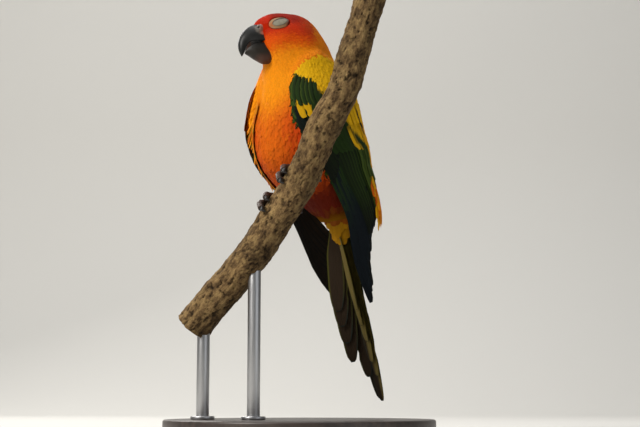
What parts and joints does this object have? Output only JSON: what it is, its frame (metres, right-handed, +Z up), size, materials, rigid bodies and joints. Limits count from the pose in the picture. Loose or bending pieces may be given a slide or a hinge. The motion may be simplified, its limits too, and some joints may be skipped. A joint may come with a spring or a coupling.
{
  "type": "sun conure",
  "caption": "Life-size still sun conure dozing upright with closed eyes, gripping a slanting cut branch on a round display stand, wings folded and long tail hanging.",
  "frame": {"origin": "centre of the stand base's underside, on the floor", "axes": "+Z up; the bill points along -X; the picture looks along +Y with +X to its right; the tail hangs towards +X and +Y"},
  "size_m": [0.17, 0.17, 0.2688],
  "materials": {
    "plumage_head": "soft matte feathers, red-orange face and crown",
    "plumage_neck": "soft matte feathers, orange going to yellow on the nape",
    "plumage_body": "soft matte feathers, orange breast and belly, yellow back",
    "plumage_wing": "matte flight feathers, dark green and blue-black, with yellow coverts",
    "plumage_tail": "matte flight feathers, dark olive",
    "eyelid": "bare pale grey skin",
    "bill_horn": "black-grey horn with a soft sheen",
    "foot_skin": "dark grey scaly skin, dark claws",
    "bark": "grey-brown bark with pale patches and pale cut ends",
    "stand_base": "dark stained, satin",
    "stand_rod": "brushed"
  },
  "bodies": {
    "root": {"head": "plumage_head", "neck": "plumage_neck", "torso": "plumage_body", "wing_left": "plumage_wing", "wing_right": "plumage_wing", "tail": "plumage_tail", "thigh_left": "plumage_body", "thigh_right": "plumage_body", "eye_left": "eyelid", "eye_right": "eyelid", "bill_upper": "bill_horn", "bill_lower": "bill_horn", "foot_left": "foot_skin", "foot_right": "foot_skin", "perch_branch": "bark", "stand_base": "stand_base", "stand_rod_lower": "stand_rod", "stand_rod_upper": "stand_rod"}
  },
  "joints": []
}
